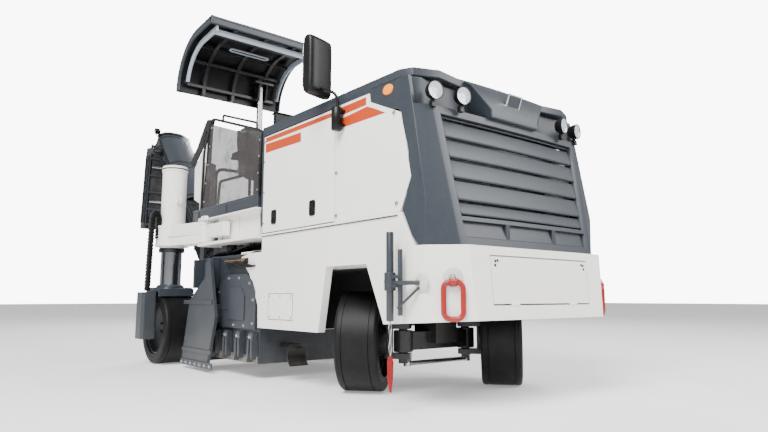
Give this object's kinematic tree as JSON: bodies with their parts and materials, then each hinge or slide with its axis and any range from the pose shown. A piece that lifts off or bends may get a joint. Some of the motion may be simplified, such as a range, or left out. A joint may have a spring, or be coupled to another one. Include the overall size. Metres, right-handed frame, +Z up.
{
  "type": "compact cold planer",
  "caption": "Compact wheeled road milling machine with a box-shaped front body, steered solid tyres, rear wheel legs, an under-slung milling drum and a folded rear loading conveyor.",
  "frame": {"origin": "on the ground, under the middle of the machine's bounding box", "axes": "+X towards the front (radiator end), +Y to the machine's left, +Z up"},
  "size_m": [5.9998, 2.29, 3.21],
  "materials": {
    "white_paint": "warm white machine enamel with orange stripes, road dust and chips",
    "grey_paint": "anthracite blue-grey enamel, dusty",
    "chassis_black": "satin black paint, dusty",
    "red_paint": "signal red paint, worn at the edges",
    "bare_steel": "ground steel tube",
    "drum_steel": "worn hard-faced steel with a trace of rust",
    "engine_iron": "plain cast iron",
    "radiator_alloy": "dull finned aluminium",
    "tyre_rubber": "solid black rubber, scuffed and dusty",
    "belt_rubber": "matt black belting",
    "smoked_glass": "smoked polycarbonate sheet",
    "seat_vinyl": "black seat vinyl"
  },
  "bodies": {
    "frame": {"hood": "grey_paint", "grille": "grey_paint", "corner_pillar_right": "grey_paint", "corner_pillar_left": "grey_paint", "rear_bulkhead": "grey_paint", "rear_frame": "grey_paint", "drum_box": "grey_paint", "drum_gearbox": "grey_paint", "operator_platform": "grey_paint", "canopy_post": "grey_paint", "front_axle": "chassis_black", "work_lamps_right": "chassis_black", "work_lamps_left": "chassis_black", "mirror": "chassis_black", "platform_subframe": "chassis_black", "control_console": "chassis_black", "seat_stand": "chassis_black", "engine_block": "engine_iron", "radiator": "radiator_alloy", "lower_body": "white_paint", "side_panel_right": "white_paint", "side_panel_left": "white_paint", "rear_column_left": "white_paint", "swing_bracket": "white_paint", "tie_down_eye_right": "red_paint", "tie_down_eye_left": "red_paint", "weather_panel": "smoked_glass"},
    "front_knuckle_right": {"front_right_knuckle": "chassis_black"},
    "front_knuckle_left": {"front_left_knuckle": "chassis_black"},
    "front_wheel_right": {"front_right_tyre": "tyre_rubber", "front_right_rim": "grey_paint"},
    "front_wheel_left": {"front_left_tyre": "tyre_rubber", "front_left_rim": "grey_paint"},
    "tie_rod": {"tie_rod": "bare_steel"},
    "swing_arm": {"swing_arm": "white_paint"},
    "column_right": {"rear_column_right": "white_paint"},
    "leg_right": {"rear_leg_right": "chassis_black"},
    "leg_left": {"rear_leg_left": "chassis_black"},
    "rear_wheel_right": {"rear_right_tyre": "tyre_rubber", "rear_right_rim": "grey_paint"},
    "rear_wheel_left": {"rear_left_tyre": "tyre_rubber", "rear_left_rim": "grey_paint"},
    "milling_drum": {"milling_drum": "drum_steel"},
    "edge_protector_right": {"edge_protector_right": "grey_paint"},
    "edge_protector_left": {"edge_protector_left": "grey_paint"},
    "scraper": {"scraper_blade": "grey_paint"},
    "turret": {"conveyor_turret": "grey_paint"},
    "conveyor_lower": {"conveyor_lower": "grey_paint", "belt_lower": "belt_rubber"},
    "conveyor_upper": {"conveyor_upper": "grey_paint", "belt_upper": "belt_rubber"},
    "front_hatch": {"front_hatch": "white_paint"},
    "service_door_right": {"service_door_right": "white_paint"},
    "service_door_left": {"service_door_left": "white_paint"},
    "canopy": {"canopy": "grey_paint", "canopy_mast": "bare_steel"},
    "operator_seat": {"operator_seat": "seat_vinyl"}
  },
  "joints": [
    {"name": "steer_right", "type": "hinge", "parent": "frame", "child": "front_knuckle_right", "pos_m": [2.05, -0.3, 0.33], "axis": [0, 0, 1], "range_deg": [0, 100]},
    {"name": "steer_left", "type": "hinge", "parent": "frame", "child": "front_knuckle_left", "pos_m": [2.05, 0.3, 0.33], "axis": [0, 0, 1], "range_deg": [0, 100]},
    {"name": "tie_rod_pivot", "type": "hinge", "parent": "front_knuckle_right", "child": "tie_rod", "pos_m": [1.94073, -0.16977, 0.165], "axis": [0, 0, 1], "range_deg": [-100, 0]},
    {"name": "front_wheel_right_spin", "type": "hinge", "parent": "front_knuckle_right", "child": "front_wheel_right", "pos_m": [1.85083, -0.46713, 0.33], "axis": [0.766, 0.6428, 0], "continuous": true},
    {"name": "front_wheel_left_spin", "type": "hinge", "parent": "front_knuckle_left", "child": "front_wheel_left", "pos_m": [2.24917, 0.46713, 0.33], "axis": [0.766, 0.6428, 0], "continuous": true},
    {"name": "leg_swing", "type": "hinge", "parent": "frame", "child": "swing_arm", "pos_m": [-0.1, -0.78, 1.2], "axis": [0, 0, 1], "range_deg": [-18, 0]},
    {"name": "column_keep_straight", "type": "hinge", "parent": "swing_arm", "child": "column_right", "pos_m": [-0.74, -0.86, 1.2], "axis": [0, 0, 1], "range_deg": [0, 18]},
    {"name": "leg_lift_right", "type": "slide", "parent": "column_right", "child": "leg_right", "axis": [0, 0, 1], "range_m": [-0.05, 0.3]},
    {"name": "leg_lift_left", "type": "slide", "parent": "frame", "child": "leg_left", "axis": [0, 0, 1], "range_m": [-0.05, 0.3]},
    {"name": "rear_wheel_right_spin", "type": "hinge", "parent": "leg_right", "child": "rear_wheel_right", "pos_m": [-0.74, -0.86, 0.33], "axis": [0, 1, 0], "continuous": true},
    {"name": "rear_wheel_left_spin", "type": "hinge", "parent": "leg_left", "child": "rear_wheel_left", "pos_m": [-0.74, 0.86, 0.33], "axis": [0, 1, 0], "continuous": true},
    {"name": "drum_spin", "type": "hinge", "parent": "frame", "child": "milling_drum", "pos_m": [0.35, 0, 0.52], "axis": [0, 1, 0], "continuous": true},
    {"name": "edge_protector_lift_right", "type": "slide", "parent": "frame", "child": "edge_protector_right", "axis": [0, 0, 1], "range_m": [0, 0.3]},
    {"name": "edge_protector_lift_left", "type": "slide", "parent": "frame", "child": "edge_protector_left", "axis": [0, 0, 1], "range_m": [0, 0.3]},
    {"name": "scraper_lift", "type": "slide", "parent": "frame", "child": "scraper", "axis": [0, 0, 1], "range_m": [0, 0.2]},
    {"name": "conveyor_slew", "type": "hinge", "parent": "frame", "child": "turret", "pos_m": [-0.95, -0.24, 1.24], "axis": [0, 0, 1], "range_deg": [-20, 20]},
    {"name": "conveyor_raise", "type": "hinge", "parent": "turret", "child": "conveyor_lower", "pos_m": [-0.95, -0.24, 0.97], "axis": [0, 1, 0], "range_deg": [-15, 8]},
    {"name": "conveyor_fold", "type": "hinge", "parent": "conveyor_lower", "child": "conveyor_upper", "pos_m": [-2.70009, -0.24, 2.55746], "axis": [0, 1, 0], "range_deg": [0, 129]},
    {"name": "front_hatch_hinge", "type": "hinge", "parent": "frame", "child": "front_hatch", "pos_m": [2.98348, 0, 0.583], "axis": [0, 1, 0], "range_deg": [0, 90]},
    {"name": "service_door_hinge_right", "type": "hinge", "parent": "frame", "child": "service_door_right", "pos_m": [1.45, -0.8, 1.862], "axis": [-1, 0, 0], "range_deg": [0, 60]},
    {"name": "service_door_hinge_left", "type": "hinge", "parent": "frame", "child": "service_door_left", "pos_m": [1.45, 0.8, 1.862], "axis": [1, 0, 0], "range_deg": [0, 60]},
    {"name": "canopy_height", "type": "slide", "parent": "frame", "child": "canopy", "axis": [0, 0, 1], "range_m": [-0.45, 0]},
    {"name": "seat_swivel", "type": "hinge", "parent": "frame", "child": "operator_seat", "pos_m": [-0.05, -0.25, 1.757], "axis": [0, 0, 1], "range_deg": [-90, 90]}
  ],
  "couplings": [
    {"joint": "steer_left", "follows": "steer_right", "ratio": 1},
    {"joint": "tie_rod_pivot", "follows": "steer_right", "ratio": -1},
    {"joint": "column_keep_straight", "follows": "leg_swing", "ratio": -1}
  ]
}
